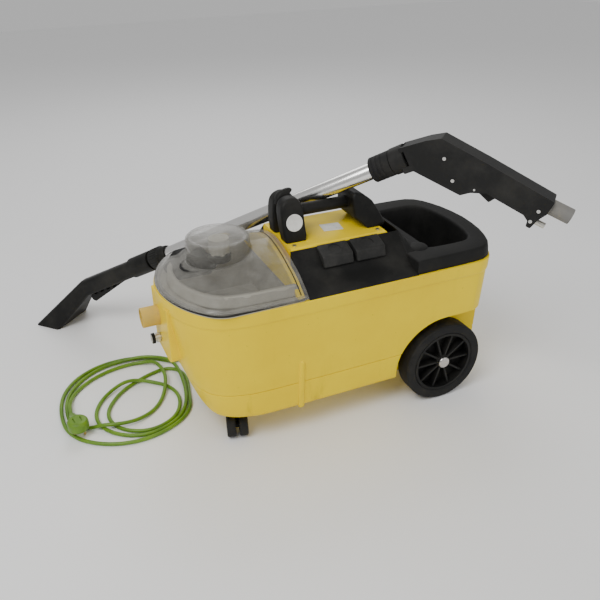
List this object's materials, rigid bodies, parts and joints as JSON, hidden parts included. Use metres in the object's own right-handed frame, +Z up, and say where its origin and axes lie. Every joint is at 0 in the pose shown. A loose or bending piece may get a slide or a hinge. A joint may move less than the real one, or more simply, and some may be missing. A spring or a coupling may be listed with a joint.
{
  "type": "carpet cleaner machine",
  "caption": "Wheeled spray-extraction carpet cleaner with clear domed tank lid, rear tray, carry handle, coiled mains lead and a suction wand leaning on the handle.",
  "frame": {"origin": "middle of the footprint of machine and wand together, on the floor, the mains lead left out", "axes": "+Z up, +X towards the rear wheels of the machine, +Y away from the side that carries the push pads"},
  "size_m": [0.9, 0.9407, 0.5748],
  "materials": {
    "yellow_shell": "moulded, satin gloss",
    "black_trim": "fine grained",
    "grey_pads": "fine grained",
    "clear_lid": "clear moulded plastic",
    "grey_tank": "moulded",
    "white_tank": "blow moulded",
    "soft_black": "matt",
    "tyre_black": "matt",
    "steel": "drawn",
    "bright_cap": "polished",
    "brass_fitting": "turned",
    "dusty_grey": "worn",
    "green_lead": "smooth sheath",
    "plate": "printed label",
    "motor_steel": "painted",
    "pipe_black": "drawn"
  },
  "bodies": {
    "machine": {"base_pan": "yellow_shell", "body_shell": "yellow_shell", "side_ribs": "yellow_shell", "deck_cover": "yellow_shell", "console_near": "black_trim", "console_far": "black_trim", "tray_frame": "black_trim", "waste_tank": "grey_tank", "intake_pipe": "black_trim", "spray_coupling": "brass_fitting", "handle": "black_trim", "axle": "steel", "axle_bushes": "black_trim", "fresh_tank": "white_tank", "tank_filter": "white_tank", "turbine_housing": "motor_steel", "motor_can": "motor_steel", "spray_pump": "motor_steel", "air_duct": "black_trim", "lid_seal": "soft_black", "deck_plate": "plate", "deck_screws": "steel", "lead_gland": "soft_black", "lead_tube": "green_lead", "lead_coil": "green_lead", "plug_body": "green_lead", "plug_pins": "brass_fitting"},
    "wheel_near": {"tyre_near": "tyre_black", "wheel_rim_near": "black_trim", "hub_cap_near": "bright_cap"},
    "wheel_far": {"tyre_far": "tyre_black", "wheel_rim_far": "black_trim", "hub_cap_far": "bright_cap"},
    "swivel_near": {"caster_fork_near": "black_trim", "caster_pin_near": "steel"},
    "swivel_far": {"caster_fork_far": "black_trim", "caster_pin_far": "steel"},
    "rollers_near": {"caster_rollers_near": "soft_black"},
    "rollers_far": {"caster_rollers_far": "soft_black"},
    "lid": {"dome_lid": "clear_lid", "float_cage": "black_trim"},
    "float": {"float_ball": "white_tank"},
    "collar": {"coupling_collar": "brass_fitting"},
    "fan": {"turbine_fan": "black_trim"},
    "pad_suction": {"switch_suction": "grey_pads"},
    "pad_spray": {"switch_spray": "grey_pads"},
    "wand": {"wand_pipe": "pipe_black", "nozzle_body": "black_trim", "spray_jet": "brass_fitting", "grip_sleeve": "soft_black", "grip_ring": "black_trim", "grip_body": "black_trim", "hose_cuff": "dusty_grey", "trigger_pin": "steel", "wand_coupler": "steel", "grip_screws": "steel"},
    "nut": {"nozzle_nut": "black_trim"},
    "trigger": {"trigger": "black_trim"}
  },
  "joints": [
    {"name": "wheel_near_spin", "type": "hinge", "parent": "machine", "child": "wheel_near", "pos_m": [0.3196, -0.2783, 0.0887], "axis": [0, 1, 0], "continuous": true},
    {"name": "wheel_far_spin", "type": "hinge", "parent": "machine", "child": "wheel_far", "pos_m": [0.3196, -0.0083, 0.0887], "axis": [0, 1, 0], "continuous": true},
    {"name": "swivel_near", "type": "hinge", "parent": "machine", "child": "swivel_near", "pos_m": [-0.1144, -0.2093, 0.06], "axis": [0, 0, 1], "continuous": true},
    {"name": "swivel_far", "type": "hinge", "parent": "machine", "child": "swivel_far", "pos_m": [-0.1144, -0.0773, 0.06], "axis": [0, 0, 1], "continuous": true},
    {"name": "rollers_near_spin", "type": "hinge", "parent": "swivel_near", "child": "rollers_near", "pos_m": [-0.11941, -0.22866, 0.024], "axis": [0.9681, -0.2504, 0], "continuous": true},
    {"name": "rollers_far_spin", "type": "hinge", "parent": "swivel_far", "child": "rollers_far", "pos_m": [-0.11941, -0.09666, 0.024], "axis": [0.9681, -0.2504, 0], "continuous": true},
    {"name": "lid_lift", "type": "slide", "parent": "machine", "child": "lid", "axis": [-0.5501, -0.7331, 0.4], "range_m": [0, 0.1]},
    {"name": "float_rise", "type": "slide", "parent": "lid", "child": "float", "axis": [0, 0, 1], "range_m": [0, 0.008]},
    {"name": "collar_release", "type": "slide", "parent": "machine", "child": "collar", "axis": [1, 0, 0], "range_m": [0, 0.003], "stiffness_N_per_m": 600, "springref_m": -0.002},
    {"name": "fan_spin", "type": "hinge", "parent": "machine", "child": "fan", "pos_m": [0.1136, -0.1433, 0.25], "axis": [0, 0, 1], "continuous": true},
    {"name": "pad_suction_press", "type": "slide", "parent": "machine", "child": "pad_suction", "axis": [0, 0.6752, -0.7377], "range_m": [0, 0.0014], "stiffness_N_per_m": 800, "springref_m": -0.002},
    {"name": "pad_spray_press", "type": "slide", "parent": "machine", "child": "pad_spray", "axis": [0, 0.6752, -0.7377], "range_m": [0, 0.0014], "stiffness_N_per_m": 800, "springref_m": -0.002},
    {"name": "wand_lift", "type": "slide", "parent": "machine", "child": "wand", "axis": [0, 0, 1], "range_m": [0, 0.25]},
    {"name": "nut_turn", "type": "hinge", "parent": "wand", "child": "nut", "pos_m": [-0.15084, 0.16387, 0.23273], "axis": [0.6022, -0.6457, 0.4695], "continuous": true},
    {"name": "trigger_pull", "type": "hinge", "parent": "wand", "child": "trigger", "pos_m": [0.31838, -0.3393, 0.49], "axis": [0.7314, 0.682, 0], "range_deg": [-9, 0], "stiffness_Nm_per_rad": 0.6, "springref_deg": 6.88}
  ]
}
